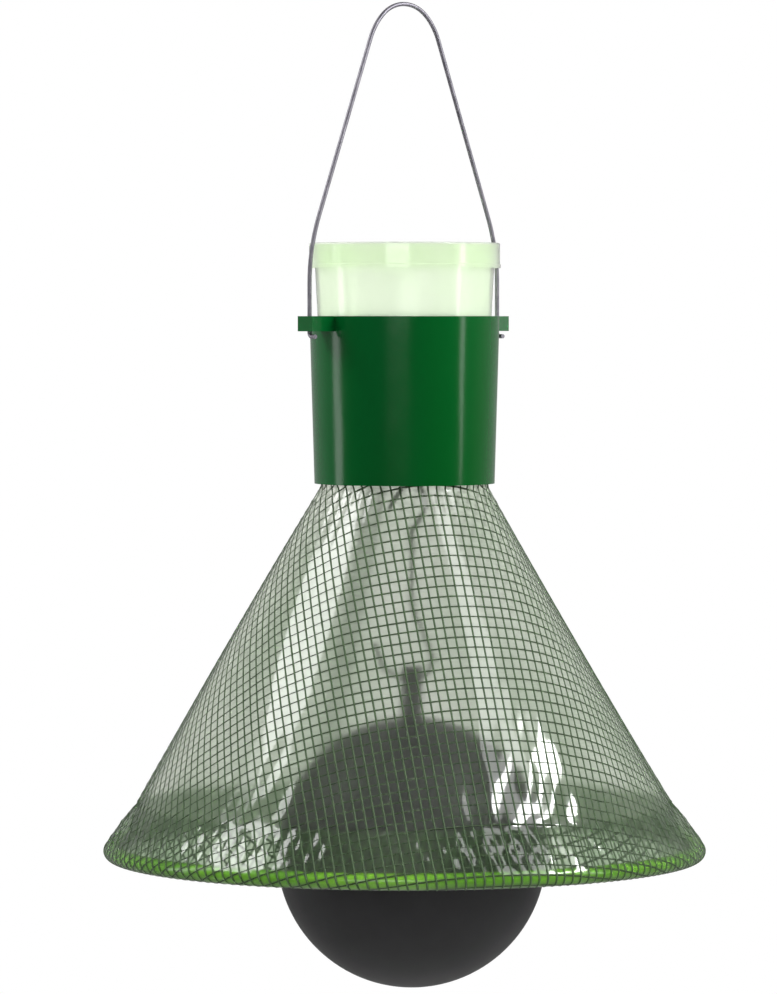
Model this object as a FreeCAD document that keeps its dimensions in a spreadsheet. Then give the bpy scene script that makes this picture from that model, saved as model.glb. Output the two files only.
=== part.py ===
"""Hanging insect trap: a film cone on a hoop, a collar with two ears, a lidded
collecting jar, a wire bail and a black ball hung inside the cone.

Origin at the top of the bail, where the trap hangs. +Z is up, the ears lie on X.
Depths are measured down from the hang point, so every depth is positive.
"""
import FreeCAD, Part
import math
import os

import Sketcher

doc = FreeCAD.newDocument("HangingTrap")

# ---------------------------------------------------------------- driving dimensions (mm, degrees)
DIMENSIONS = {
    # bail: one steel wire, bent over at the top, straight down through the ears
    "wire_radius": 1.5,
    "apex_radius": 26.3,
    "apex_angle": 45.0,
    "shoulder_radius": 45.0,
    "bail_angle": 70.5,
    "knee_radius": 139.0,
    "tip_drop": 3.7,
    "tip_radius": 3.0,
    "tip_length": 7.0,
    # collar with its two ears and the inner ledge
    "collar_top": 217.7,
    "collar_height": 116.9,
    "collar_wall": 2.4,
    "lip_height": 3.0,
    "lip_width": 5.3,
    "ear_width": 17.2,
    "ear_height": 10.5,
    "ear_end": 4.0,
    "ear_hole_out": 14.5,
    "ear_hole_radius": 3.2,
    "ledge_rise": 53.6,
    "ledge_thickness": 4.0,
    "ledge_width": 7.65,
    # collecting jar, its lid and the funnel in its floor
    "jar_shoulder_radius": 62.6,
    "jar_taper": 2.9,
    "jar_wall": 1.2,
    "jar_rim_height": 4.0,
    "jar_hole_inset": 4.0,
    "lid_stand": 51.1,
    "lid_overhang": 4.6,
    "lid_skirt": 17.5,
    "lid_wall": 1.2,
    "lid_plate": 1.4,
    "lid_bead_step": 0.5,
    "lid_bead_height": 2.25,
    "lid_bead_slope": 0.75,
    "funnel_flange": 3.5,
    "funnel_height": 52.0,
    "throat_radius": 12.0,
    # ring that holds the film's neck in the collar, its strap, screws and bar
    "ring_recess": 0.6,
    "ring_wall": 2.5,
    "ring_flange": 2.5,
    "ring_flange_width": 8.0,
    "screw_inset": 5.1,
    "screw_radius": 1.45,
    "screw_length": 5.5,
    "screw_head_radius": 2.4,
    "screw_head_height": 1.8,
    "strap_rise": 28.0,
    "strap_width": 20.0,
    "strap_thickness": 1.5,
    "bar_rise": 12.0,
    "bar_radius": 4.0,
    "bar_end_inset": 0.6,
    # film cone, its hem and seam
    "neck_radius": 58.8,
    "neck_rise": 34.0,
    "mouth_drop": 2.4,
    "film_wall": 0.8,
    "hem_height": 32.5,
    "hem_outer_slope": 37.6,
    "hem_inner_slope": 16.8,
    "seam_width": 16.0,
    "seam_thickness": 0.6,
    "seam_azimuth": 73.0,
    "seam_top_margin": 8.0,
    "seam_bottom_margin": 4.0,
    # hoop
    "hoop_radius": 205.0,
    "hoop_depth": 591.5,
    "tube_radius": 5.5,
    "tube_bore_radius": 4.2,
    "hoop_split": 0.2,
    "hoop_azimuth": 40.0,
    "plug_arc": 16.0,
    # hanger wire of the ball: reaches from the axis, drops below the bar
    "hook_slide": 8.5,
    "hook_span": 16.0,
    "hook_leg": 21.0,
    "tail_reach": 19.5,
    "tail_drop": 30.0,
    "jog_reach": 12.5,
    "jog_drop": 30.0,
    "shank_top_drop": 46.0,
    "shank_end_drop": 98.0,
    "bulge_reach": 18.9,
    "bulge_drop": 135.0,
    "eye_drop": 148.0,
    "eye_right": 14.0,
    "eye_left": 12.0,
    "free_bend_reach": 25.0,
    "free_bend_drop": 140.0,
    "free_end_reach": 32.0,
    "free_end_drop": 123.0,
    # ball and its stem
    "ball_radius": 94.5,
    "ball_wall": 2.5,
    "stem_radius": 7.35,
    "stem_end": 7.3,
    "stem_neck": 28.5,
    "stem_depth_in_ball": 6.0,
    # clearances
    "pin_gap": 0.05,
    "running_gap": 0.3,
    "seat_gap": 0.1,
}

sheet = doc.addObject("Spreadsheet::Sheet", "Dims")
for row, (alias, size) in enumerate(DIMENSIONS.items(), start=1):
    sheet.set(f"A{row}", alias)
    sheet.set(f"B{row}", str(size))
    sheet.setAlias(f"B{row}", alias)
doc.recompute()

D = {alias: f"Dims.{alias}" for alias in DIMENSIONS}


# ---------------------------------------------------------------- lengths that follow from them
def value(expression):
    """The number that a sheet expression gives."""
    return float(sheet.evalExpression(str(expression)))


# Depths: the jar stands on the collar's ledge, and the ledge, the neck ring and what
# it carries keep their distance from the collar's lower edge.
COLLAR_BOTTOM = f"({D['collar_top']} + {D['collar_height']})"
LEDGE_DEPTH = f"({COLLAR_BOTTOM} - {D['ledge_rise']})"
RING_TOP = f"({LEDGE_DEPTH} + {D['ledge_thickness']})"
RING_BOTTOM = f"({COLLAR_BOTTOM} - {D['ring_recess']})"
NECK_TOP = f"({RING_BOTTOM} - {D['neck_rise']})"
STRAP_TOP = f"({RING_BOTTOM} - {D['strap_rise']})"
BAR_DEPTH = f"({RING_BOTTOM} - {D['bar_rise']})"
MOUTH_DEPTH = f"({COLLAR_BOTTOM} + {D['mouth_drop']})"
HEM_DEPTH = f"({D['hoop_depth']} - {D['hem_height']})"
LID_TOP = f"({D['collar_top']} - {D['lid_stand']})"
JAR_SHOULDER = f"({LID_TOP} + {D['lid_skirt']})"
JAR_TOP = f"({LID_TOP} + {D['lid_plate']} + {D['running_gap']})"
LEG_BOTTOM = f"({D['collar_top']} + {D['ear_height']} + {D['tip_drop']} - {D['tip_radius']})"
EYE_DEPTH = f"({BAR_DEPTH} + {D['eye_drop']})"
STEM_TOP = f"({EYE_DEPTH} - {D['stem_end']})"
BALL_TOP = f"({EYE_DEPTH} + {D['stem_neck']})"
BALL_DEPTH = f"({BALL_TOP} + {D['ball_radius']})"


def jar_radius(depth):
    """Outer radius of the tapered jar wall at a depth."""
    return f"({D['jar_shoulder_radius']} - ({depth} - {JAR_SHOULDER}) * tan({D['jar_taper']}))"


# Radii: the collar goes round the jar above and round the strapped film below, and
# its ledge reaches in far enough for the jar and for the ring's screws.
LID_RADIUS = f"({D['jar_shoulder_radius']} + {D['lid_overhang']})"
LID_SIDE = f"({LID_RADIUS} - {D['lid_bead_step']})"
LIP_RADIUS = f"({jar_radius(D['collar_top'])} + {D['running_gap']})"
ROUND_STRAP = f"{D['neck_radius']} + {D['seat_gap']} + {D['strap_thickness']}"
ROUND_JAR = jar_radius(LEDGE_DEPTH)
COLLAR_BOTTOM_RADIUS = f"(max({ROUND_STRAP}; {ROUND_JAR}) + {D['running_gap']} + {D['collar_wall']})"
COLLAR_TOP_RADIUS = f"max({LIP_RADIUS} + {D['lip_width']}; {COLLAR_BOTTOM_RADIUS})"
COLLAR_SLOPE = f"(({COLLAR_TOP_RADIUS} - {COLLAR_BOTTOM_RADIUS}) / {D['collar_height']})"
EAR_REACH = f"({COLLAR_TOP_RADIUS} + {D['ear_hole_out']})"
RING_RADIUS = f"({D['neck_radius']} - {D['film_wall']})"
UNDER_JAR = f"{ROUND_JAR} - {D['ledge_width']}"
OVER_RING = f"{RING_RADIUS} - {D['ring_flange_width']}"
LEDGE_BORE = f"min({UNDER_JAR}; {OVER_RING})"
JAR_HOLE = f"({LEDGE_BORE} - {D['jar_hole_inset']})"
SCREW_CIRCLE = f"({RING_RADIUS} - {D['screw_inset']})"
HOOK_RADIUS = f"({D['bar_radius']} + {D['running_gap']} + {D['wire_radius']})"
HANGER_Y = f"(-{D['hook_slide']})"


# ---------------------------------------------------------------- drawing helpers
def collar_radius(depth):
    """Outer radius of the tapered collar wall at a depth."""
    return f"({COLLAR_TOP_RADIUS} - ({depth} - {D['collar_top']}) * {COLLAR_SLOPE})"


def new_body(label):
    """An empty body whose label names the piece."""
    body = doc.addObject("PartDesign::Body", label)
    body.Label = label
    return body


def new_sketch(body, name, role, offset=None):
    """A sketch on one of the body's origin planes, moved along the plane's normal."""
    sketch = body.newObject("Sketcher::SketchObject", f"{body.Label}_{name}")
    plane = next(item for item in body.Origin.OriginFeatures if item.Role == role)
    sketch.AttachmentSupport = [(plane, "")]
    sketch.MapMode = "FlatFace"
    if offset is not None:
        sketch.setExpression("AttachmentOffset.Base.z", offset)
    return sketch


def constrain(sketch, kind, *where, size):
    """Add a constraint of this size, bound to the sheet."""
    index = sketch.addConstraint(Sketcher.Constraint(kind, *where, value(size)))
    sketch.setExpression(f"Constraints[{index}]", str(size))


def pin_point(sketch, edge, end, across, down):
    """Tie an end of a sketch edge to the origin by two sheet expressions."""
    constrain(sketch, "DistanceX", -1, 1, edge, end, size=across)
    constrain(sketch, "DistanceY", edge, end, -1, 1, size=down)


def draw(sketch, corners, closed=True):
    """Draw lines and arcs through the corners.

    A corner is (across, down) and starts a line to the next one, or
    (across, down, radius, turn) and starts an arc: turn 1 goes counter-clockwise,
    -1 clockwise, and 2 or -2 takes the long way round.
    """
    points = [FreeCAD.Vector(value(c[0]), -value(c[1]), 0) for c in corners]
    count = len(corners) if closed else len(corners) - 1
    ends = []
    for i in range(count):
        start, end = points[i], points[(i + 1) % len(points)]
        if len(corners[i]) == 2:
            edge = sketch.addGeometry(Part.LineSegment(start, end), False)
            ends.append((edge, 1, 2))
            continue
        radius, turn = value(corners[i][2]), corners[i][3]
        chord = end - start
        rise = math.sqrt(max(radius ** 2 - chord.Length ** 2 / 4, 0.0))
        side = math.copysign(1, turn) * (-1 if abs(turn) == 2 else 1)
        normal = FreeCAD.Vector(-chord.y, chord.x, 0).normalize()
        centre = (start + end) * 0.5 + normal * rise * side
        first, last = (start, end) if turn > 0 else (end, start)
        angles = [math.atan2(p.y - centre.y, p.x - centre.x) for p in (first, last)]
        circle = Part.Circle(centre, FreeCAD.Vector(0, 0, 1), radius)
        edge = sketch.addGeometry(Part.ArcOfCircle(circle, angles[0], angles[1]), False)
        constrain(sketch, "Radius", edge, size=corners[i][2])
        ends.append((edge, 1, 2) if turn > 0 else (edge, 2, 1))
    for i in range(count if closed else count - 1):
        edge, _, end = ends[i]
        follower, start, _ = ends[(i + 1) % count]
        sketch.addConstraint(Sketcher.Constraint("Coincident", edge, end, follower, start))
    for i in range(count):
        pin_point(sketch, ends[i][0], ends[i][1], corners[i][0], corners[i][1])
    if not closed:
        pin_point(sketch, ends[-1][0], ends[-1][2], corners[-1][0], corners[-1][1])
    return sketch


def circle_sketch(body, name, role, radius, across="0", down="0", offset=None):
    """A sketch with one circle, tied to the sheet."""
    sketch = new_sketch(body, name, role, offset)
    centre = FreeCAD.Vector(value(across), -value(down), 0)
    edge = sketch.addGeometry(Part.Circle(centre, FreeCAD.Vector(0, 0, 1), value(radius)), False)
    constrain(sketch, "Radius", edge, size=radius)
    pin_point(sketch, edge, 3, across, down)
    return sketch


def turned(body, name, *loops, cut=False):
    """Turn closed outlines of the XZ plane about Z, as material or as a cut."""
    sketch = new_sketch(body, name, "XZ_Plane")
    for loop in loops:
        draw(sketch, loop)
    kind = "PartDesign::Groove" if cut else "PartDesign::Revolution"
    feature = body.newObject(kind, f"{body.Label}_{name}_turned")
    feature.Profile = sketch
    feature.ReferenceAxis = (sketch, ["V_Axis"])
    feature.Angle = 360
    return feature


def padded(body, sketch, length, downwards=False, both_ways=False, cut=False):
    """Pad or pocket a sketch by a sheet length."""
    kind = "PartDesign::Pocket" if cut else "PartDesign::Pad"
    feature = body.newObject(kind, f"{sketch.Name}_depth")
    feature.Profile = sketch
    feature.setExpression("Length", length)
    feature.Midplane = both_ways
    feature.Reversed = downwards != cut
    return feature


def piped(body, name, path, section):
    """Carry a section along every edge of a path sketch."""
    doc.recompute()
    feature = body.newObject("PartDesign::AdditivePipe", f"{body.Label}_{name}")
    feature.Profile = section
    feature.Spine = (path, [f"Edge{i + 1}" for i in range(len(path.Shape.Edges))])
    return feature


def repeated(body, feature, count):
    """Copies of a feature, evenly spaced about Z."""
    pattern = body.newObject("PartDesign::PolarPattern", f"{feature.Name}_round")
    pattern.Originals = [feature]
    axis = next(item for item in body.Origin.OriginFeatures if item.Role == "Z_Axis")
    pattern.Axis = (axis, [""])
    pattern.Angle = 360
    pattern.Occurrences = count
    body.Tip = pattern
    return pattern


# ---------------------------------------------------------------- bail_wire
# One galvanised wire: a round top, two spread legs that turn upright at the ears,
# and a short tip under each ear, bent towards -Y so the legs can't pull out.
bail = new_body("bail_wire")
apex_x = f"{D['apex_radius']} * sin({D['apex_angle']})"
apex_z = f"{D['apex_radius']} * (1 - cos({D['apex_angle']}))"
shoulder_x = f"({apex_x} + {D['shoulder_radius']} * (sin({D['bail_angle']}) - sin({D['apex_angle']})))"
shoulder_z = f"({apex_z} + {D['shoulder_radius']} * (cos({D['apex_angle']}) - cos({D['bail_angle']})))"
knee_x = f"({EAR_REACH} - {D['knee_radius']} * (1 - sin({D['bail_angle']})))"
knee_z = f"({shoulder_z} + ({knee_x} - {shoulder_x}) * tan({D['bail_angle']}))"
upright_z = f"({knee_z} + {D['knee_radius']} * cos({D['bail_angle']}))"
leg_path = new_sketch(bail, "legs", "XZ_Plane")
draw(leg_path, [
    (f"-{EAR_REACH}", LEG_BOTTOM),
    (f"-{EAR_REACH}", upright_z, D["knee_radius"], -1),
    (f"-{knee_x}", knee_z),
    (f"-{shoulder_x}", shoulder_z, D["shoulder_radius"], -1),
    (f"-{apex_x}", apex_z, D["apex_radius"], -1),
    (apex_x, apex_z, D["shoulder_radius"], -1),
    (shoulder_x, shoulder_z),
    (knee_x, knee_z, D["knee_radius"], -1),
    (EAR_REACH, upright_z),
    (EAR_REACH, LEG_BOTTOM),
], closed=False)
leg_section = circle_sketch(bail, "leg_section", "XY_Plane", D["wire_radius"],
                            across=f"-{EAR_REACH}", offset=f"-{LEG_BOTTOM}")
piped(bail, "wire", leg_path, leg_section)
for side, name in ((-1, "left"), (1, "right")):
    reach = f"{side} * {EAR_REACH}"
    tip_path = new_sketch(bail, f"{name}_tip", "YZ_Plane", offset=reach)
    draw(tip_path, [
        ("0", LEG_BOTTOM, D["tip_radius"], -1),
        (f"-{D['tip_radius']}", f"{LEG_BOTTOM} + {D['tip_radius']}"),
        (f"-{D['tip_length']}", f"{LEG_BOTTOM} + {D['tip_radius']}"),
    ], closed=False)
    tip_section = circle_sketch(bail, f"{name}_tip_section", "XY_Plane", D["wire_radius"],
                                across=reach, offset=f"-{LEG_BOTTOM}")
    piped(bail, f"{name}_tip_bend", tip_path, tip_section)

# ---------------------------------------------------------------- jar_lid
# Pressed-on lid: a flat plate, a plain skirt and a bead round the skirt's lower edge.
lid = new_body("jar_lid")
lid_bottom = f"{LID_TOP} + {D['lid_skirt']}"
bead_top = f"{lid_bottom} - {D['lid_bead_height']}"
turned(lid, "shell", [
    ("0", LID_TOP),
    (f"{LID_SIDE} - {D['lid_wall']}", LID_TOP, D["lid_wall"], -1),
    (LID_SIDE, f"{LID_TOP} + {D['lid_wall']}"),
    (LID_SIDE, f"{bead_top} - {D['lid_bead_slope']}"),
    (LID_RADIUS, bead_top),
    (LID_RADIUS, lid_bottom),
    (f"{LID_SIDE} - {D['lid_wall']}", lid_bottom),
    (f"{LID_SIDE} - {D['lid_wall']}", f"{LID_TOP} + {D['lid_plate']}"),
    ("0", f"{LID_TOP} + {D['lid_plate']}"),
])

# ---------------------------------------------------------------- collecting_jar
# Thin tapered tub that stands on the collar's ledge; its floor is open in the middle.
jar = new_body("collecting_jar")
rim_bottom = f"{JAR_TOP} + {D['jar_rim_height']}"
rim_radius = f"({LID_SIDE} - {D['lid_wall']} - {D['running_gap']})"
floor_top = f"{LEDGE_DEPTH} - {D['jar_wall']}"
turned(jar, "shell", [
    (f"{jar_radius(rim_bottom)} - {D['jar_wall']}", JAR_TOP),
    (rim_radius, JAR_TOP),
    (rim_radius, rim_bottom),
    (jar_radius(rim_bottom), rim_bottom),
    (jar_radius(LEDGE_DEPTH), LEDGE_DEPTH),
    (JAR_HOLE, LEDGE_DEPTH),
    (JAR_HOLE, floor_top),
    (f"{jar_radius(floor_top)} - {D['jar_wall']}", floor_top),
])

# ---------------------------------------------------------------- entry_funnel
# One-way funnel: a flange on the jar's floor, a cone up to the throat and a short lip.
funnel = new_body("entry_funnel")
flange_top = f"{floor_top} - {D['jar_wall']}"
throat_depth = f"({floor_top} - {D['funnel_height']})"
turned(funnel, "shell", [
    (f"{JAR_HOLE} + {D['funnel_flange']}", floor_top),
    (f"{JAR_HOLE} + {D['funnel_flange']}", flange_top),
    (JAR_HOLE, flange_top),
    (f"{D['throat_radius']} + {D['jar_wall']}", throat_depth),
    (D["throat_radius"], throat_depth),
    (f"{JAR_HOLE} - 2 * {D['jar_wall']}", floor_top),
])

# ---------------------------------------------------------------- collar
# Tapered sleeve with a lip round the jar, a ledge inside, and an ear on each side
# with an upright hole for the bail. The ears are flush with the top.
collar = new_body("collar")
lip_bottom = f"{D['collar_top']} + {D['lip_height']}"
turned(collar, "sleeve", [
    (LIP_RADIUS, D["collar_top"]),
    (COLLAR_TOP_RADIUS, D["collar_top"]),
    (COLLAR_BOTTOM_RADIUS, COLLAR_BOTTOM),
    (f"{COLLAR_BOTTOM_RADIUS} - {D['collar_wall']}", COLLAR_BOTTOM),
    (f"{collar_radius(RING_TOP)} - {D['collar_wall']}", RING_TOP),
    (LEDGE_BORE, RING_TOP),
    (LEDGE_BORE, LEDGE_DEPTH),
    (f"{collar_radius(LEDGE_DEPTH)} - {D['collar_wall']}", LEDGE_DEPTH),
    (f"{collar_radius(lip_bottom)} - {D['collar_wall']}", lip_bottom),
    (LIP_RADIUS, lip_bottom),
])
for side, name in ((-1, "left"), (1, "right")):
    ear_sketch = new_sketch(collar, f"{name}_ear", "XY_Plane", offset=f"-{D['collar_top']}")
    root = f"{side} * ({COLLAR_TOP_RADIUS} - {D['collar_wall']})"
    tip = f"{side} * ({EAR_REACH} + {D['ear_end']})"
    draw(ear_sketch, [
        (root, f"{D['ear_width']} / 2"),
        (tip, f"{D['ear_width']} / 2"),
        (tip, f"-{D['ear_width']} / 2"),
        (root, f"-{D['ear_width']} / 2"),
    ])
    padded(collar, ear_sketch, D["ear_height"], downwards=True)
    hole = circle_sketch(collar, f"{name}_ear_hole", "XY_Plane", D["ear_hole_radius"],
                         across=f"{side} * {EAR_REACH}", offset=f"-{D['collar_top']}")
    padded(collar, hole, D["ear_height"], cut=True, downwards=True)
pilot = circle_sketch(collar, "pilot", "XY_Plane", f"{D['screw_radius']} + {D['pin_gap']}",
                      across=SCREW_CIRCLE, offset=f"-{RING_TOP}")
pilot_hole = padded(collar, pilot, f"{D['screw_length']} - {D['ring_flange']} + {D['seat_gap']}",
                    cut=True)
repeated(collar, pilot_hole, 4)

# ---------------------------------------------------------------- neck_ring
# Ring screwed up under the ledge: the film's neck is drawn over it, and the bar
# that carries the ball passes through two holes in its wall.
ring = new_body("neck_ring")
ring_inside = f"({RING_RADIUS} - {D['ring_wall']})"
turned(ring, "wall", [
    (LEDGE_BORE, RING_TOP),
    (RING_RADIUS, RING_TOP),
    (RING_RADIUS, RING_BOTTOM),
    (ring_inside, RING_BOTTOM),
    (ring_inside, f"{RING_TOP} + {D['ring_flange']}"),
    (LEDGE_BORE, f"{RING_TOP} + {D['ring_flange']}"),
])
clearance_hole = circle_sketch(ring, "screw_hole", "XY_Plane", f"{D['screw_radius']} + {D['pin_gap']}",
                               across=SCREW_CIRCLE, offset=f"-{RING_TOP}")
screw_hole = padded(ring, clearance_hole, D["ring_flange"], cut=True, downwards=True)
repeated(ring, screw_hole, 4)
bar_hole = circle_sketch(ring, "bar_hole", "XZ_Plane", f"{D['bar_radius']} + {D['pin_gap']}",
                         down=BAR_DEPTH)
padded(ring, bar_hole, f"2 * {D['neck_radius']}", cut=True, both_ways=True)

# ---------------------------------------------------------------- neck_screws
# Four pan-head screws, from below through the ring's flange into the ledge.
flange_bottom = f"({RING_TOP} + {D['ring_flange']})"
screws = doc.addObject("Part::MultiFuse", "neck_screws")
screws.Label = "neck_screws"
shanks_and_heads = []
for index in range(4):
    for name, radius, height, top in (
            ("shank", D["screw_radius"], D["screw_length"], f"{flange_bottom} - {D['screw_length']}"),
            ("head", D["screw_head_radius"], D["screw_head_height"], flange_bottom)):
        cylinder = doc.addObject("Part::Cylinder", f"screw_{name}_{index}")
        cylinder.setExpression("Radius", radius)
        cylinder.setExpression("Height", height)
        cylinder.setExpression("Placement.Base.x", f"{SCREW_CIRCLE} * cos({90 * index})")
        cylinder.setExpression("Placement.Base.y", f"{SCREW_CIRCLE} * sin({90 * index})")
        cylinder.setExpression("Placement.Base.z", f"-({top} + {height})")
        shanks_and_heads.append(cylinder)
screws.Shapes = shanks_and_heads

# ---------------------------------------------------------------- film_strap
# Flat strap drawn tight round the film's neck, which it holds on the ring.
strap = new_body("film_strap")
strap_inside = f"({D['neck_radius']} + {D['seat_gap']})"
strap_bottom = f"{STRAP_TOP} + {D['strap_width']}"
turned(strap, "band", [
    (strap_inside, STRAP_TOP),
    (f"{strap_inside} + {D['strap_thickness']}", STRAP_TOP),
    (f"{strap_inside} + {D['strap_thickness']}", strap_bottom),
    (strap_inside, strap_bottom),
])

# ---------------------------------------------------------------- hanger_bar
# Round bar across the ring, caught between the two sides of the film's neck.
bar = new_body("hanger_bar")
bar_section = circle_sketch(bar, "section", "XZ_Plane", D["bar_radius"], down=BAR_DEPTH)
padded(bar, bar_section, f"2 * ({RING_RADIUS} - {D['bar_end_inset']})", both_ways=True)

# ---------------------------------------------------------------- film_cone
# Plastic film: a straight neck, a cone, and a hem that wraps the hoop and is welded
# to the cone's inside above it.
film = new_body("film_cone")
hem_outside = f"({D['tube_radius']} + {D['running_gap']} + {D['film_wall']})"
hem_inside = f"({D['tube_radius']} + {D['running_gap']})"
outer_x = f"({D['hoop_radius']} + {hem_outside} * cos({D['hem_outer_slope']}))"
outer_z = f"({D['hoop_depth']} - {hem_outside} * sin({D['hem_outer_slope']}))"
inner_x = f"({D['hoop_radius']} - {hem_outside} * cos({D['hem_inner_slope']}))"
inner_z = f"({D['hoop_depth']} + {hem_outside} * sin({D['hem_inner_slope']}))"
cone_radius = f"({outer_x} - ({outer_z} - {HEM_DEPTH}) * tan({D['hem_outer_slope']}))"
shrink = f"({hem_inside} / {hem_outside})"
weld_x = f"({D['hoop_radius']} + ({cone_radius} - {D['hoop_radius']}) * {shrink})"
weld_z = f"({D['hoop_depth']} + ({HEM_DEPTH} - {D['hoop_depth']}) * {shrink})"
turned(film, "sheet", [
    (D["neck_radius"], NECK_TOP),
    (D["neck_radius"], MOUTH_DEPTH),
    (cone_radius, HEM_DEPTH),
    (outer_x, outer_z, hem_outside, -2),
    (inner_x, inner_z),
    (f"{cone_radius} - {D['film_wall']}", HEM_DEPTH),
    (f"{D['neck_radius']} - {D['film_wall']}", MOUTH_DEPTH),
    (f"{D['neck_radius']} - {D['film_wall']}", NECK_TOP),
], [
    (weld_x, weld_z),
    (f"{D['hoop_radius']} + {hem_inside} * cos({D['hem_outer_slope']})",
     f"{D['hoop_depth']} - {hem_inside} * sin({D['hem_outer_slope']})", hem_inside, -2),
    (f"{D['hoop_radius']} - {hem_inside} * cos({D['hem_inner_slope']})",
     f"{D['hoop_depth']} + {hem_inside} * sin({D['hem_inner_slope']})"),
])

# ---------------------------------------------------------------- film_seam
# Tape along one side of the cone, where the two straight edges of the film meet.
seam_shell = new_body("seam_shell")
seam_top = f"({MOUTH_DEPTH} + {D['seam_top_margin']})"
seam_bottom = f"({HEM_DEPTH} - {D['seam_bottom_margin']})"
cone_slope = f"(({cone_radius} - {D['neck_radius']}) / ({HEM_DEPTH} - {MOUTH_DEPTH}))"
seam_top_radius = f"({D['neck_radius']} + ({seam_top} - {MOUTH_DEPTH}) * {cone_slope})"
seam_bottom_radius = f"({D['neck_radius']} + ({seam_bottom} - {MOUTH_DEPTH}) * {cone_slope})"
turned(seam_shell, "skin", [
    (seam_top_radius, seam_top),
    (f"{seam_top_radius} + {D['seam_thickness']}", seam_top),
    (f"{seam_bottom_radius} + {D['seam_thickness']}", seam_bottom),
    (seam_bottom_radius, seam_bottom),
])
seam_box = doc.addObject("Part::Box", "seam_box")
seam_box.setExpression("Length", D["hoop_radius"])
seam_box.setExpression("Width", D["seam_width"])
seam_box.setExpression("Height", D["hoop_depth"])
seam_box.setExpression("Placement.Base.x", f"{D['seam_width']} / 2 * sin({D['seam_azimuth']})")
seam_box.setExpression("Placement.Base.y", f"-{D['seam_width']} / 2 * cos({D['seam_azimuth']})")
seam_box.setExpression("Placement.Base.z", f"-{D['hoop_depth']}")
seam_box.setExpression("Placement.Rotation.Angle", D["seam_azimuth"])
seam = doc.addObject("Part::Common", "film_seam")
seam.Label = "film_seam"
seam.Base = seam_shell
seam.Tool = seam_box

# ---------------------------------------------------------------- hoop_tube, hoop_plug
# Plastic tube bent to a hoop; its two ends butt over a short plug pushed inside.
tube = doc.addObject("Part::Cut", "hoop_tube")
tube.Label = "hoop_tube"
plug = doc.addObject("Part::Torus", "hoop_plug")
plug.Label = "hoop_plug"
for name, radius, arc, turn in (
        ("hoop_outside", D["tube_radius"], f"360 - {D['hoop_split']}", D["hoop_azimuth"]),
        ("hoop_bore", D["tube_bore_radius"], "360", D["hoop_azimuth"]),
        ("hoop_plug", f"{D['tube_bore_radius']} - {D['pin_gap']}", D["plug_arc"],
         f"{D['hoop_azimuth']} - {D['plug_arc']} / 2")):
    ring_part = plug if name == "hoop_plug" else doc.addObject("Part::Torus", name)
    ring_part.setExpression("Radius1", D["hoop_radius"])
    ring_part.setExpression("Radius2", radius)
    ring_part.setExpression("Angle3", arc)
    ring_part.setExpression("Placement.Base.z", f"-{D['hoop_depth']}")
    ring_part.setExpression("Placement.Rotation.Angle", turn)
tube.Base = doc.getObject("hoop_outside")
tube.Tool = doc.getObject("hoop_bore")

# ---------------------------------------------------------------- ball_hanger
# Stiff wire: a square hook over the bar with a short flared tail, a straight shank,
# an eye that passes through the ball's stem and a free end turned up.
hanger = new_body("ball_hanger")
hook_top = f"({BAR_DEPTH} - {HOOK_RADIUS})"
half_span = f"({D['hook_span']} / 2)"


def below_bar(drop):
    """The depth of a point of the hanger that lies this far below the bar."""
    return f"({BAR_DEPTH} + {D[drop]})"


def rounded_path(points, radius):
    """Corners of a polyline with each inner corner rounded to the radius.

    The corners are numbers here: (across, down), with arcs tangent to both runs.
    """
    corners = [points[0]]
    for before, corner, after in zip(points, points[1:], points[2:]):
        here = FreeCAD.Vector(corner[0], -corner[1], 0)
        back = (FreeCAD.Vector(before[0], -before[1], 0) - here).normalize()
        ahead = (FreeCAD.Vector(after[0], -after[1], 0) - here).normalize()
        setback = radius / math.tan(back.getAngle(ahead) / 2)
        turn = 1 if (back * -1).cross(ahead).z > 0 else -1
        first, last = here + back * setback, here + ahead * setback
        corners.append((first.x, -first.y, radius, turn))
        corners.append((last.x, -last.y))
    return corners + [points[-1]]


hanger_corners = [
    (f"-{D['tail_reach']}", below_bar("tail_drop")),
    (f"-{half_span}", f"{hook_top} + {D['hook_leg']}"),
    (f"-{half_span}", hook_top),
    (half_span, hook_top),
    (half_span, f"{hook_top} + {D['hook_leg']}"),
    (D["jog_reach"], below_bar("jog_drop")),
    ("0", below_bar("shank_top_drop")),
    ("0", below_bar("shank_end_drop")),
    (D["bulge_reach"], below_bar("bulge_drop")),
    (D["eye_right"], EYE_DEPTH),
    (f"-{D['eye_left']}", EYE_DEPTH),
    (f"-{D['free_bend_reach']}", below_bar("free_bend_drop")),
    (f"-{D['free_end_reach']}", below_bar("free_end_drop")),
]
hanger_points = [(value(across), value(down)) for across, down in hanger_corners]
hanger_path = new_sketch(hanger, "path", "XZ_Plane", offset=D["hook_slide"])
draw(hanger_path, rounded_path(hanger_points, value(HOOK_RADIUS)), closed=False)
hanger_section = hanger.newObject("Sketcher::SketchObject", "ball_hanger_section")
hanger_section.AttachmentSupport = [(hanger_path, "Edge1")]
hanger_section.MapMode = "NormalToEdge"
round_section = Part.Circle(FreeCAD.Vector(0, 0, 0), FreeCAD.Vector(0, 0, 1), value(D["wire_radius"]))
section_edge = hanger_section.addGeometry(round_section, False)
constrain(hanger_section, "Radius", section_edge, size=D["wire_radius"])
hanger_section.addConstraint(Sketcher.Constraint("Coincident", section_edge, 3, -1, 1))
piped(hanger, "wire", hanger_path, hanger_section)

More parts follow.
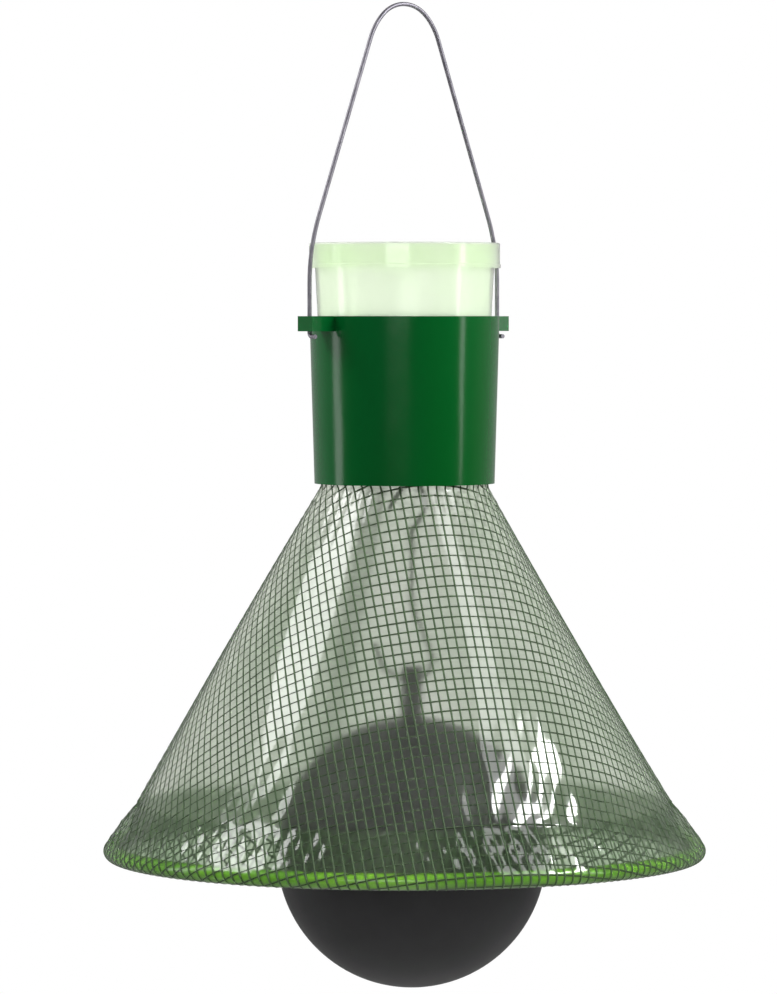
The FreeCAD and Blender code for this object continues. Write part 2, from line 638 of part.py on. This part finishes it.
# ---------------------------------------------------------------- ball_stem
# Plug glued in the top of the ball: a stem with a cross hole for the wire, a flange
# that follows the ball and a spigot that goes through its wall.
stem = new_body("ball_stem")
stem_bottom = f"({BALL_TOP} + {D['stem_depth_in_ball']})"
stem_sketch = circle_sketch(stem, "section", "XY_Plane", D["stem_radius"], down=D["hook_slide"],
                            offset=f"-{stem_bottom}")
padded(stem, stem_sketch, f"{stem_bottom} - {STEM_TOP}")
cross_hole = circle_sketch(stem, "cross_hole", "YZ_Plane", f"{D['wire_radius']} + {D['pin_gap']}",
                           across=HANGER_Y, down=EYE_DEPTH)
through_stem = f"4 * {D['stem_radius']}"
padded(stem, cross_hole, through_stem, cut=True, both_ways=True)

# ---------------------------------------------------------------- ball_shell
# Hollow black ball with one hole in the top for the stem.
shell = doc.addObject("Part::Cut", "ball_shell")
shell.Label = "ball_shell"
for name, radius in (("ball_outside", D["ball_radius"]),
                     ("ball_inside", f"{D['ball_radius']} - {D['ball_wall']}")):
    sphere = doc.addObject("Part::Sphere", name)
    sphere.setExpression("Radius", radius)
    sphere.setExpression("Placement.Base.y", HANGER_Y)
    sphere.setExpression("Placement.Base.z", f"-{BALL_DEPTH}")
stem_way = doc.addObject("Part::Cylinder", "stem_way")
stem_way.setExpression("Radius", f"{D['stem_radius']} + {D['pin_gap']}")
stem_way.setExpression("Height", f"2 * {D['ball_wall']} + {D['stem_depth_in_ball']}")
stem_way.setExpression("Placement.Base.y", HANGER_Y)
stem_way.setExpression("Placement.Base.z", f"-({stem_bottom} + {D['ball_wall']})")
hollow = doc.addObject("Part::MultiFuse", "ball_hollow")
hollow.Shapes = [doc.getObject("ball_inside"), stem_way]
shell.Base = doc.getObject("ball_outside")
shell.Tool = hollow

# ---------------------------------------------------------------- checks and export
PIECES = [bail, lid, jar, funnel, collar, ring, screws, strap, bar, film, seam, tube, plug,
          hanger, stem, shell]
doc.recompute()
failed = [item.Name for item in doc.Objects if "Invalid" in item.State or "Error" in item.State]
if failed:
    raise RuntimeError(f"features that failed: {failed}")
os.makedirs("parts", exist_ok=True)
for piece in PIECES:
    shape = piece.Shape
    if shape.isNull() or not shape.isValid():
        raise RuntimeError(f"{piece.Label} has no valid shape")
    box = shape.BoundBox
    print(f"{piece.Label}: solids {len(shape.Solids)}, volume {shape.Volume / 1000:.2f} cm3, "
          f"X {box.XMin:.1f}..{box.XMax:.1f}, Y {box.YMin:.1f}..{box.YMax:.1f}, "
          f"Z {box.ZMin:.1f}..{box.ZMax:.1f}")
    shape.exportStep(f"parts/{piece.Label}.step")
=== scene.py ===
import math
import random

import bpy
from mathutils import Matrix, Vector


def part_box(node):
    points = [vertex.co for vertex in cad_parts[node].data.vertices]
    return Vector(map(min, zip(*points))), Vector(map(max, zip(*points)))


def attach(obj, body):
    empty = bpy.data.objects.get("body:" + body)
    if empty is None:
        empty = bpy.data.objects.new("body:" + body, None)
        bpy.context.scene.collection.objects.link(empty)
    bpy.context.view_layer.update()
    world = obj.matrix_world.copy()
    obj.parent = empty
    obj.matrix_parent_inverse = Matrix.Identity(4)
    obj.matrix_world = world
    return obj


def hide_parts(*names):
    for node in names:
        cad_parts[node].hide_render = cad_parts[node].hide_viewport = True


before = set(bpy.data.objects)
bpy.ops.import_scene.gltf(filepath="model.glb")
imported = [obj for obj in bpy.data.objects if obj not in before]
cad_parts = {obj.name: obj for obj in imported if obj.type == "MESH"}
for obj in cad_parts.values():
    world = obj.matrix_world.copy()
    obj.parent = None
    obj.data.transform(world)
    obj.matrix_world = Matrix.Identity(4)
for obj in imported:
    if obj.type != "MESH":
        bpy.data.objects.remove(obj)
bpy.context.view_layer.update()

bpy.ops.object.select_all(action="DESELECT")

# ---------------------------------------------------------------- camera and studio
# The trap hangs 3.5 m in front of a long lens, with the left ear turned towards it.
# A white surround, tall strip lights at both sides and softboxes above the film.
CAMERA_TURN = math.radians(-36)
FRONT = CAMERA_TURN - math.pi / 2
CAMERA_DISTANCE = 3.5
CAMERA_HEIGHT = -0.219
TILT_DOWN = math.radians(2.05)
PAN_LEFT = math.radians(0.184)


def around(psi, distance, height):
    """A place beside the trap's axis: psi degrees right of the front."""
    angle = FRONT + math.radians(psi)
    return Vector((distance * math.cos(angle), distance * math.sin(angle), height))


camera_data = bpy.data.cameras.new("studio_camera")
camera_data.lens = 181.1
camera_data.sensor_width = 36
camera = bpy.data.objects.new("studio_camera", camera_data)
bpy.context.scene.collection.objects.link(camera)
camera.location = around(0, CAMERA_DISTANCE, CAMERA_HEIGHT)
camera.rotation_euler = (math.pi / 2 - TILT_DOWN, 0, CAMERA_TURN + PAN_LEFT)
bpy.context.scene.camera = camera
bpy.context.scene.view_settings.view_transform = "Standard"


def softbox(name, psi, elevation, distance, width, height, radiance, aim_z):
    """An area light that faces the trap, bright enough to show this radiance."""
    light = bpy.data.lights.new(name, "AREA")
    light.shape = "RECTANGLE"
    light.size = width
    light.size_y = height
    light.energy = radiance * math.pi * width * height
    box = bpy.data.objects.new(name, light)
    bpy.context.scene.collection.objects.link(box)
    box.visible_camera = False
    rise = math.radians(elevation)
    box.location = around(psi, distance * math.cos(rise), aim_z + distance * math.sin(rise))
    aim = Vector((0, 0, aim_z)) - box.location
    box.rotation_euler = aim.to_track_quat("-Z", "Y").to_euler()
    return box


# Degrees right of the front and up, distance, width, height, radiance, and the height it aims at.
softbox("strip_left", -90, 4, 1.5, 0.30, 1.3, 2.2, -0.25)
softbox("strip_right", 74, 9, 1.5, 0.22, 0.9, 2.4, -0.25).data.shape = "ELLIPSE"
softbox("top_right", 66, 40, 1.30, 0.50, 0.12, 36.0, -0.60)
softbox("top_left", -84, 44, 1.5, 0.55, 0.50, 8.0, -0.45)
softbox("upper_right", 58, 50, 1.4, 0.35, 0.55, 5.0, -0.45)
softbox("front_fill", -8, 12, 3.2, 1.6, 1.0, 2.6, -0.45)

world = bpy.data.worlds.new("white_surround")
bpy.context.scene.world = world
world.use_nodes = True
surround = world.node_tree
backdrop = surround.nodes["Background"]
backdrop.inputs["Color"].default_value = (1, 1, 1, 1)
path = surround.nodes.new("ShaderNodeLightPath")
seen = surround.nodes.new("ShaderNodeMath")
seen.operation = "MAXIMUM"
surround.links.new(path.outputs["Is Camera Ray"], seen.inputs[0])
surround.links.new(path.outputs["Is Transmission Ray"], seen.inputs[1])
ray = surround.nodes.new("ShaderNodeTexCoord")
facing_front = surround.nodes.new("ShaderNodeVectorMath")
facing_front.operation = "DOT_PRODUCT"
facing_front.inputs[1].default_value = around(0, 1, 0)
surround.links.new(ray.outputs["Generated"], facing_front.inputs[0])
room = surround.nodes.new("ShaderNodeMapRange")
room.interpolation_type = "SMOOTHSTEP"
for name, amount in (("From Min", -0.9), ("From Max", 0.5), ("To Min", 0.36), ("To Max", 0.05)):
    room.inputs[name].default_value = amount
surround.links.new(facing_front.outputs["Value"], room.inputs["Value"])
glow = surround.nodes.new("ShaderNodeMapRange")
surround.links.new(seen.outputs[0], glow.inputs["Value"])
surround.links.new(room.outputs["Result"], glow.inputs["To Min"])
surround.links.new(glow.outputs["Result"], backdrop.inputs["Strength"])

# ---------------------------------------------------------------- floor
# A pale paper floor some way below the trap. Its colour drifts a little, as do the
# colour, roughness and bump of every finish after it.
FLOOR_Z = -0.98


class Value:
    """A node socket that adds Math nodes when it is used in an expression."""

    def __init__(self, finish, socket):
        self.finish = finish
        self.socket = socket

    def combined(self, operation, first, second):
        return self.finish.node("ShaderNodeMath", {"operation": operation}, {0: first, 1: second})

    def __add__(self, other):
        return self.combined("ADD", self, other)

    __radd__ = __add__

    def __mul__(self, other):
        return self.combined("MULTIPLY", self, other)

    __rmul__ = __mul__


class Finish:
    """A material with one Principled surface, and one method that adds nodes."""

    def __init__(self, name, **constants):
        self.material = bpy.data.materials.new(name)
        self.material.use_nodes = True
        self.tree = self.material.node_tree
        self.surface = self.tree.nodes["Principled BSDF"]
        for socket, amount in constants.items():
            self.surface.inputs[socket.replace("_", " ")].default_value = amount

    def node(self, kind, settings=None, values=None, output=0):
        made = self.tree.nodes.new(kind)
        for name, setting in (settings or {}).items():
            if name == "stops":
                for stop, (place, colour) in zip(self.stops(made, len(setting)), setting):
                    stop.position = place
                    stop.color = (*colour, 1)
            else:
                setattr(made, name, setting)
        for key, item in (values or {}).items():
            if isinstance(item, Value):
                self.tree.links.new(item.socket, made.inputs[key])
            else:
                made.inputs[key].default_value = item
        return Value(self, made.outputs[output])

    @staticmethod
    def stops(ramp_node, count):
        elements = ramp_node.color_ramp.elements
        while len(elements) < count:
            elements.new(0.5)
        return elements

    def place(self, scale=(1, 1, 1)):
        """Object coordinates, stretched by the scale."""
        where = self.node("ShaderNodeTexCoord", output="Object")
        return self.node("ShaderNodeMapping", None, {"Vector": where, "Scale": scale})

    def noise(self, scale, detail=3.0, stretch=(1, 1, 1)):
        return self.node("ShaderNodeTexNoise", None,
                         {"Vector": self.place(stretch), "Scale": scale, "Detail": detail})

    def ramp(self, share, *stops):
        return self.node("ShaderNodeValToRGB", {"stops": stops}, {"Fac": share})

    def feed(self, **sockets):
        for socket, item in sockets.items():
            self.tree.links.new(item.socket, self.surface.inputs[socket.replace("_", " ")])

    def bump(self, height, strength, distance):
        self.feed(Normal=self.node("ShaderNodeBump", None,
                                   {"Height": height, "Strength": strength, "Distance": distance}))

    def cover(self, piece):
        """Give the whole piece this finish."""
        piece.data.materials.clear()
        piece.data.materials.append(self.material)
        return piece


bpy.ops.mesh.primitive_circle_add(vertices=96, radius=1.1, fill_type="NGON", location=(0, 0, FLOOR_Z))
floor = bpy.context.object
floor.name = "floor"

paper = Finish("pale_floor", Roughness=0.9)
paper.feed(Base_Color=paper.ramp(paper.noise(3.0), (0.3, (0.80, 0.80, 0.79)), (0.7, (0.86, 0.86, 0.86))))
paper.cover(floor)

# ---------------------------------------------------------------- bail and ball wire
# Drawn steel wire, zinc coated: dull lilac grey with fine lengthwise draw marks and
# darker blotches where the zinc has weathered.
def coat_node(name, finish):
    """A CAD piece keeps its shape and gets this finish."""
    return finish.cover(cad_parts[name])


zinc = Finish("zinc_wire", Metallic=0.6)
blotch = zinc.noise(160.0, 4.0)
zinc.feed(Base_Color=zinc.ramp(blotch, (0.30, (0.25, 0.24, 0.28)), (0.8, (0.40, 0.38, 0.43))),
          Roughness=0.32 + 0.25 * blotch)
zinc.bump(zinc.noise(1400.0, 2.0, (1, 1, 0.15)), 0.25, 0.0002)
coat_node("bail_wire", zinc)

dark_wire = Finish("dark_wire", Metallic=0.5)
stain = dark_wire.noise(120.0, 4.0)
dark_wire.feed(Base_Color=dark_wire.ramp(stain, (0.3, (0.05, 0.06, 0.05)), (0.7, (0.15, 0.17, 0.14))),
               Roughness=0.45 + 0.2 * stain)
dark_wire.bump(dark_wire.noise(1400.0, 2.0, (1, 1, 0.15)), 0.25, 0.0002)
coat_node("ball_hanger", dark_wire)

# ---------------------------------------------------------------- lid, jar and funnel
# Thin moulded polypropylene, pale green and milky: the light surround shines through.
milky = Finish("milky_green", IOR=1.02, Transmission_Weight=0.90, Coat_Weight=1.0,
               Coat_Roughness=0.12)
cloud = milky.noise(26.0, 3.0)
milky.feed(Base_Color=milky.ramp(cloud, (0.35, (0.92, 0.99, 0.86)), (0.65, (0.95, 1.0, 0.90))),
           Roughness=0.7 + 0.2 * cloud)
milky.bump(milky.noise(320.0, 2.0), 0.08, 0.0004)
for name in ("jar_lid", "collecting_jar", "entry_funnel"):
    coat_node(name, milky)

# ---------------------------------------------------------------- collar, neck ring and bar
# Injection moulded in glossy dark green; a faint orange-peel shows in the highlights.
green = Finish("moulded_green", IOR=1.5)
drift = green.noise(9.0, 2.0, (1, 1, 0.3))
green.feed(Base_Color=green.ramp(drift, (0.35, (0.000, 0.125, 0.016)), (0.65, (0.000, 0.155, 0.030))),
           Roughness=0.12 + 0.08 * green.noise(60.0, 3.0))
green.bump(green.noise(14.0, 2.0, (1, 1, 0.35)) + 0.02 * green.noise(420.0, 2.0), 0.35, 0.004)
for name in ("collar", "neck_ring", "hanger_bar"):
    coat_node(name, green)

screw_zinc = Finish("screw_zinc", Metallic=1.0)
screw_zinc.feed(Base_Color=screw_zinc.ramp(screw_zinc.noise(900.0), (0.3, (0.40, 0.39, 0.36)),
                                           (0.7, (0.62, 0.61, 0.58))),
                Roughness=0.3 + 0.2 * screw_zinc.noise(500.0))
coat_node("neck_screws", screw_zinc)

nylon = Finish("black_nylon")
ribs = nylon.node("ShaderNodeTexWave", {"bands_direction": "Z"}, {"Vector": nylon.place(), "Scale": 260.0})
nylon.feed(Base_Color=nylon.ramp(nylon.noise(90.0), (0.3, (0.012, 0.012, 0.013)), (0.7, (0.03, 0.03, 0.03))),
           Roughness=0.5 + 0.1 * nylon.noise(200.0))
nylon.bump(ribs, 0.3, 0.0004)
coat_node("film_strap", nylon)

# ---------------------------------------------------------------- film cone
# Clear green polyethylene film over a net of threads, cut as half of a flat ring and
# closed to a cone. Its neck is gathered into the collar, and its hem goes down outside
# the hoop, round under it and up again inside.
# Names that end in _R are distances out from the axis, in _Z heights, and in _S distances
# down the cut from the point of its fan.
FILM = 0.0004
BELOW_COLLAR = 0.0024
NECK_TUCK = 0.030
RETURN_GAP = 0.0012
RETURN_SHARE = 0.97
hoop_low, hoop_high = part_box("hoop_tube")
TUBE = (hoop_high.z - hoop_low.z) / 2
HOOP_Z = (hoop_high.z + hoop_low.z) / 2
HOOP_R = hoop_high.x - TUBE
WRAP = TUBE + FILM
NECK_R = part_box("neck_ring")[1].x + FILM
MOUTH_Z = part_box("collar")[0].z - BELOW_COLLAR
NECK_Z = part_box("film_cone")[1].z
HEM_Z = -0.559
OUTER_SLOPE = math.radians(37.6)
INNER_SLOPE = math.radians(16.8)
HEM_REACH = HOOP_R + WRAP * math.cos(OUTER_SLOPE)
HEM_RISE = HOOP_Z + WRAP * math.sin(OUTER_SLOPE)
HEM_R = HEM_REACH - (HEM_Z - HEM_RISE) * math.tan(OUTER_SLOPE)
HALF_ANGLE = math.atan2(HEM_R - NECK_R, MOUTH_Z - HEM_Z)
NECK_S = NECK_R / math.sin(HALF_ANGLE)
HEM_S = HEM_R / math.sin(HALF_ANGLE)
INSIDE_R = HOOP_R - WRAP * math.cos(INNER_SLOPE)
INSIDE_Z = HOOP_Z - WRAP * math.sin(INNER_SLOPE)
OUTER_LINE = math.hypot(HEM_REACH - HEM_R, HEM_Z - HEM_RISE)
INNER_LINE = math.hypot(INSIDE_R - HEM_R, HEM_Z - INSIDE_Z)
SWEEP = math.pi - INNER_SLOPE + OUTER_SLOPE
WRAP_S = HEM_S + OUTER_LINE
TURN_S = WRAP_S + WRAP * SWEEP
END_S = TURN_S + INNER_LINE * RETURN_SHARE
PATTERN = FRONT + math.radians(19)


def film_profile(s):
    """Radius, height and outward normal of the film at a distance along its cut."""
    if s < NECK_S:
        return NECK_R, min(MOUTH_Z + (NECK_S - s), NECK_Z), (1, 0)
    if s < HEM_S:
        run = s - NECK_S
        normal = (math.cos(HALF_ANGLE), math.sin(HALF_ANGLE))
        return NECK_R + run * math.sin(HALF_ANGLE), MOUTH_Z - run * math.cos(HALF_ANGLE), normal
    if s < WRAP_S:
        share = (s - HEM_S) / OUTER_LINE
        normal = (math.cos(OUTER_SLOPE), math.sin(OUTER_SLOPE))
        return HEM_R + (HEM_REACH - HEM_R) * share, HEM_Z + (HEM_RISE - HEM_Z) * share, normal
    if s < TURN_S:
        angle = OUTER_SLOPE - (s - WRAP_S) / WRAP
        out = (math.cos(angle), math.sin(angle))
        return HOOP_R + WRAP * out[0], HOOP_Z + WRAP * out[1], out
    share = (s - TURN_S) / INNER_LINE
    normal = (-math.cos(INNER_SLOPE), -math.sin(INNER_SLOPE))
    return (INSIDE_R + (HEM_R - INSIDE_R) * share + normal[0] * RETURN_GAP * share,
            INSIDE_Z + (HEM_Z - INSIDE_Z) * share, normal)


def ridge(psi, centre, width):
    """A soft crease that stands out at an angle right of the front."""
    away = (psi - centre + 180) % 360 - 180
    return math.exp(-(away / width) ** 2)


# Long creases: height in mm, angle right of the front at the neck, its drift by the hem, half width.
CREASES = ((1.5, -58, 26, 8), (1.3, 120, 0, 9), (1.4, -140, 0, 9), (-1.0, 5, 0, 16))


def folds(theta, s):
    """How far the film stands out from the plain cone, in metres.

    Above the hem these are soft swells, long creases, the gathers under the collar, and
    near the hoop pulled pleats, crumpled patches and the raised weld. The hem is puckered.
    """
    psi = math.degrees(theta - FRONT)
    if s <= NECK_S or WRAP_S <= s <= TURN_S:
        return 0.0
    if s < HEM_S:
        share = (s - NECK_S) / (HEM_S - NECK_S)
        body = math.sin(math.pi * share) ** 0.7
        soft = 0.7 * math.sin(3 * theta + 0.4) + 0.6 * math.sin(5 * theta + 2.1) + 0.35 * math.sin(9 * theta)
        crease = sum(height * ridge(psi, place + drift * share, width)
                     for height, place, drift, width in CREASES)
        deepening = 1.4 * ridge(psi, 50 - 15 * share, 9) * share
        gather = 0.5 * math.sin(46 * theta) * math.exp(-share * 16) * min(1, share * 60)
        pulled = math.sin(31 * theta + 5 * math.sin(3 * theta)) + 0.6 * math.sin(67 * theta + 9 * share)
        crumple = math.sin(38 * theta + 14 * share) * math.sin(23 * share + 5 * theta)
        low = share ** 5 * (1 - share ** 40)
        local = ridge(psi, 27, 22) + 0.5 * ridge(psi, -36, 16) + 0.5 * ridge(psi, 170, 30)
        weld = 0.5 + 0.35 * math.sin(59 * theta) * math.sin(17 * theta)
        weld *= math.exp(-((s - HEM_S) / 0.003) ** 2)
        return 0.001 * (1.3 * body * (soft + crease + deepening) + gather + 0.45 * low * pulled
                        + 1.3 * low * local * crumple + weld)
    outer = s < WRAP_S
    size = 0.00045 if outer else 0.0007
    share = 1 - (s - HEM_S) / OUTER_LINE if outer else (s - TURN_S) / INNER_LINE
    pucker = math.sin(math.pi * min(max(share, 0.0), 1.0)) ** 0.8
    wave = (math.sin(44 * theta + 3 * math.sin(7 * theta)) + 0.7 * math.sin(83 * theta + 9 * share)
            + 0.5 * math.sin(131 * theta - 5 * share))
    return size * pucker * (0.8 + wave)


def film_point(theta, s, lift=0.0):
    """A point on the film, lifted off it along its outward normal."""
    radius, height, normal = film_profile(s)
    stand = folds(theta, s) + lift
    radius += normal[0] * stand
    return (radius * math.cos(theta), radius * math.sin(theta), height + normal[1] * stand)


def film_rows():
    """Distances along the cut at which the film has a row of points."""
    rows = [NECK_S - NECK_TUCK, NECK_S - 0.012, NECK_S - 0.004]
    for start, end, step in ((NECK_S, HEM_S, 0.0034), (HEM_S, WRAP_S, 0.0028),
                             (WRAP_S, TURN_S, 0.0013), (TURN_S, END_S, 0.0024)):
        count = round((end - start) / step)
        rows += [start + (end - start) * i / count for i in range(count)]
    return rows + [END_S]


ROUND = 720
rows = film_rows()
points = [film_point(math.tau * i / ROUND, s) for s in rows for i in range(ROUND)]
faces = []
for r in range(len(rows) - 1):
    for i in range(ROUND):
        follower = (i + 1) % ROUND
        faces.append((r * ROUND + i, (r + 1) * ROUND + i, (r + 1) * ROUND + follower, r * ROUND + follower))
film_mesh = bpy.data.meshes.new("film")
film_mesh.from_pydata(points, [], faces)
film_mesh.polygons.foreach_set("use_smooth", [True] * len(faces))
cut_map = film_mesh.uv_layers.new(name="cut")
for face in film_mesh.polygons:
    for corner, vertex in zip(face.loop_indices, face.vertices):
        turn = vertex % ROUND / ROUND
        wraps = face.index % ROUND == ROUND - 1 and turn == 0
        cut_map.data[corner].uv = (1.0 if wraps else turn, rows[vertex // ROUND] / END_S)
film = bpy.data.objects.new("film", film_mesh)
bpy.context.scene.collection.objects.link(film)

clear = Finish("green_film", Roughness=1.0, IOR=1.02, Transmission_Weight=0.95, Coat_Weight=1.0,
               Coat_Roughness=0.08, Coat_IOR=1.5)
haze = clear.noise(11.0, 3.0, (1, 1, 0.35))
HEM_BLEND = 0.004
where = clear.node("ShaderNodeUVMap", {"uv_map": "cut"})
along = clear.node("ShaderNodeSeparateXYZ", None, {"Vector": where}, output="Y")
hem = clear.ramp(along, (HEM_S / END_S - HEM_BLEND, (0, 0, 0)), (HEM_S / END_S + HEM_BLEND, (1, 1, 1)))
tint = clear.ramp(haze, (0.35, (0.58, 0.66, 0.53)), (0.65, (0.84, 0.87, 0.79)))
# Past the hem line the same film is painted a darker green: painted shade for the dim look of the doubled,
# crinkled hem.
painted_hem_shade = clear.ramp(haze, (0.35, (0.36, 0.47, 0.32)), (0.65, (0.56, 0.64, 0.51)))
clear.feed(Base_Color=clear.node("ShaderNodeMix", {"data_type": "RGBA"}, {0: hem, 6: tint, 7: painted_hem_shade},
                                 output=2))
pleats = clear.node("ShaderNodeMapping", None, {"Vector": where, "Scale": (260, 26, 1)})
crinkle = clear.node("ShaderNodeTexNoise", None, {"Vector": pleats, "Scale": 1.0, "Detail": 2.0})
clear.bump(clear.noise(90.0, 3.0) * 0.25 + crinkle * hem * 0.7, 0.30, 0.0012)
clear.cover(film)
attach(film, "trap")
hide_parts("film_cone")


# ---------------------------------------------------------------- scrim threads
# A net of flat green threads inside the film. On the flat cut they run straight, so
# on the cone they bend round it and cross the seam at a slant.
HALF_WIDTH = 0.00068
HALF_THICK = 0.00020
LONG_STEP = 0.0045
HEM_STEP = 0.0017
FAN = math.sin(HALF_ANGLE)
EDGE = math.pi * FAN
FIRST_S = NECK_S - 0.006
THREAD_PLAY = 0.0002
random.seed(7)


def on_cone(u, v):
    """Where a point of the flat cut lies: its angle round the cone and its distance."""
    return PATTERN + math.atan2(u, v) / FAN, math.hypot(u, v)


def thread_runs(fixed, along_v, lift):
    """The stretches of one straight thread that lie inside the cut."""
    limit = math.sqrt(max(END_S ** 2 - fixed ** 2, 0))
    runs, run = [], []
    place = -limit
    while place < limit:
        u, v = (fixed, place) if along_v else (place, fixed)
        s = math.hypot(u, v)
        if FIRST_S < s < END_S and abs(math.atan2(u, v)) <= EDGE:
            theta, s = on_cone(u, v)
            across, up = film_profile(s)[2]
            normal = Vector((across * math.cos(theta), across * math.sin(theta), up))
            run.append((Vector(film_point(theta, s, lift)), normal))
        elif run:
            runs.append(run)
            run = []
        place += HEM_STEP if s > HEM_S - 0.002 else LONG_STEP
    runs.append(run)
    return [run for run in runs if len(run) > 2]


def scrim(name, pitch, along_v, lift):
    """All the threads that run one way, as one net of flat yarns."""
    places, sides = [], []
    count = int(END_S / pitch)
    for i in range(-count if along_v else 0, count + 1):
        fixed = (i + 0.5) * pitch + random.uniform(-THREAD_PLAY, THREAD_PLAY)
        for run in thread_runs(fixed, along_v, lift):
            first = len(places)
            for step, (place, normal) in enumerate(run):
                ahead = run[min(step + 1, len(run) - 1)][0] - run[max(step - 1, 0)][0]
                across = ahead.cross(normal).normalized() * HALF_WIDTH
                raised = normal * HALF_THICK
                places += [place + across, place + raised, place - across, place - raised]
            last = len(places) - 4
            for ring in range(first, last, 4):
                sides += [(ring + j, ring + 4 + j, ring + 4 + (j + 1) % 4, ring + (j + 1) % 4)
                          for j in range(4)]
            sides += [(first, first + 1, first + 2, first + 3), (last + 3, last + 2, last + 1, last)]
    mesh = bpy.data.meshes.new(name)
    mesh.from_pydata(places, [], sides)
    mesh.polygons.foreach_set("use_smooth", [True] * len(sides))
    net = bpy.data.objects.new(name, mesh)
    bpy.context.scene.collection.objects.link(net)
    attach(net, "trap")
    return net


def yarn(name, shade, light):
    """Dyed polyethylene yarn in this pair of greens, under a skin of clear film."""
    finish = Finish(name, Specular_IOR_Level=0.3)
    fleck = finish.noise(240.0, 3.0)
    finish.feed(Base_Color=finish.ramp(fleck, (0.3, shade), (0.7, light)), Roughness=0.45 + 0.2 * fleck)
    finish.bump(finish.noise(1500.0), 0.3, 0.0002)
    return finish


warp = scrim("scrim_warp", 0.0064, True, 0.0001)
yarn("warp_yarn", (0.09, 0.15, 0.075), (0.15, 0.24, 0.12)).cover(warp)
weft = scrim("scrim_weft", 0.0078, False, -0.0001)
yarn("weft_yarn", (0.06, 0.095, 0.05), (0.10, 0.15, 0.08)).cover(weft)
# A fitted factor, not a measured one: the mesh has this share of the plain ring's area. The
# hem's return is gathered to less than the cut, and the sleeve in the collar is wider than it.
AREA_FIT = 0.99
2 * END_S
math.pi * FAN * (END_S ** 2 - (NECK_S - NECK_TUCK) ** 2) * AREA_FIT

# ---------------------------------------------------------------- seam
# The two straight edges of the cut overlap at the back, under a strip of green tape
# that runs from the neck to the hem.
SEAM_HALF = 0.008
SEAM_STEP = 0.004
SEAM_LIFT = 0.0006
ACROSS = 7
seam_angle = PATTERN + math.pi
seam_rows = [NECK_S + 0.002 + i * SEAM_STEP for i in range(int((HEM_S - NECK_S) / SEAM_STEP))]
seam_points = []
for s in seam_rows:
    spread = SEAM_HALF / film_profile(s)[0]
    seam_points += [film_point(seam_angle + spread * (2 * j / (ACROSS - 1) - 1), s, SEAM_LIFT)
                    for j in range(ACROSS)]
seam_faces = [(r * ACROSS + j, (r + 1) * ACROSS + j, (r + 1) * ACROSS + j + 1, r * ACROSS + j + 1)
              for r in range(len(seam_rows) - 1) for j in range(ACROSS - 1)]
seam_mesh = bpy.data.meshes.new("seam_tape")
seam_mesh.from_pydata(seam_points, [], seam_faces)
seam = bpy.data.objects.new("seam_tape", seam_mesh)
bpy.context.scene.collection.objects.link(seam)
tape = Finish("green_tape", Roughness=0.35)
weld = tape.noise(70.0, 3.0)
tape.feed(Base_Color=tape.ramp(weld, (0.3, (0.13, 0.23, 0.11)), (0.7, (0.20, 0.32, 0.16))),
          Alpha=0.50 + 0.15 * weld)
tape.cover(seam)
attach(seam, "trap")
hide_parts("film_seam")

# ---------------------------------------------------------------- hoop
# Bright green plastic tube, bent to a ring. Its ends meet over an inner plug of the
# same plastic, inside the hem.
lime = Finish("lime_tube", IOR=1.48)
streak = lime.noise(18.0, 3.0)
lime.feed(Base_Color=lime.ramp(streak, (0.3, (0.16, 0.42, 0.008)), (0.7, (0.24, 0.54, 0.015))),
          Roughness=0.25 + 0.15 * lime.noise(80.0))
lime.bump(lime.noise(500.0, 2.0), 0.06, 0.0003)
coat_node("hoop_tube", lime)
coat_node("hoop_plug", lime)

# ---------------------------------------------------------------- ball and stem
# Blown black plastic ball, matt and slightly scuffed. Its stem is glued in at the top
# and takes the wire's eye.
black = Finish("matt_black", IOR=1.5)
scuff = black.noise(34.0, 5.0)
black.feed(Base_Color=black.ramp(scuff, (0.35, (0.006, 0.005, 0.007)), (0.75, (0.014, 0.013, 0.016))),
           Roughness=0.42 + 0.16 * scuff)
black.bump(black.noise(700.0, 3.0), 0.10, 0.0003)
coat_node("ball_shell", black)
coat_node("ball_stem", black)
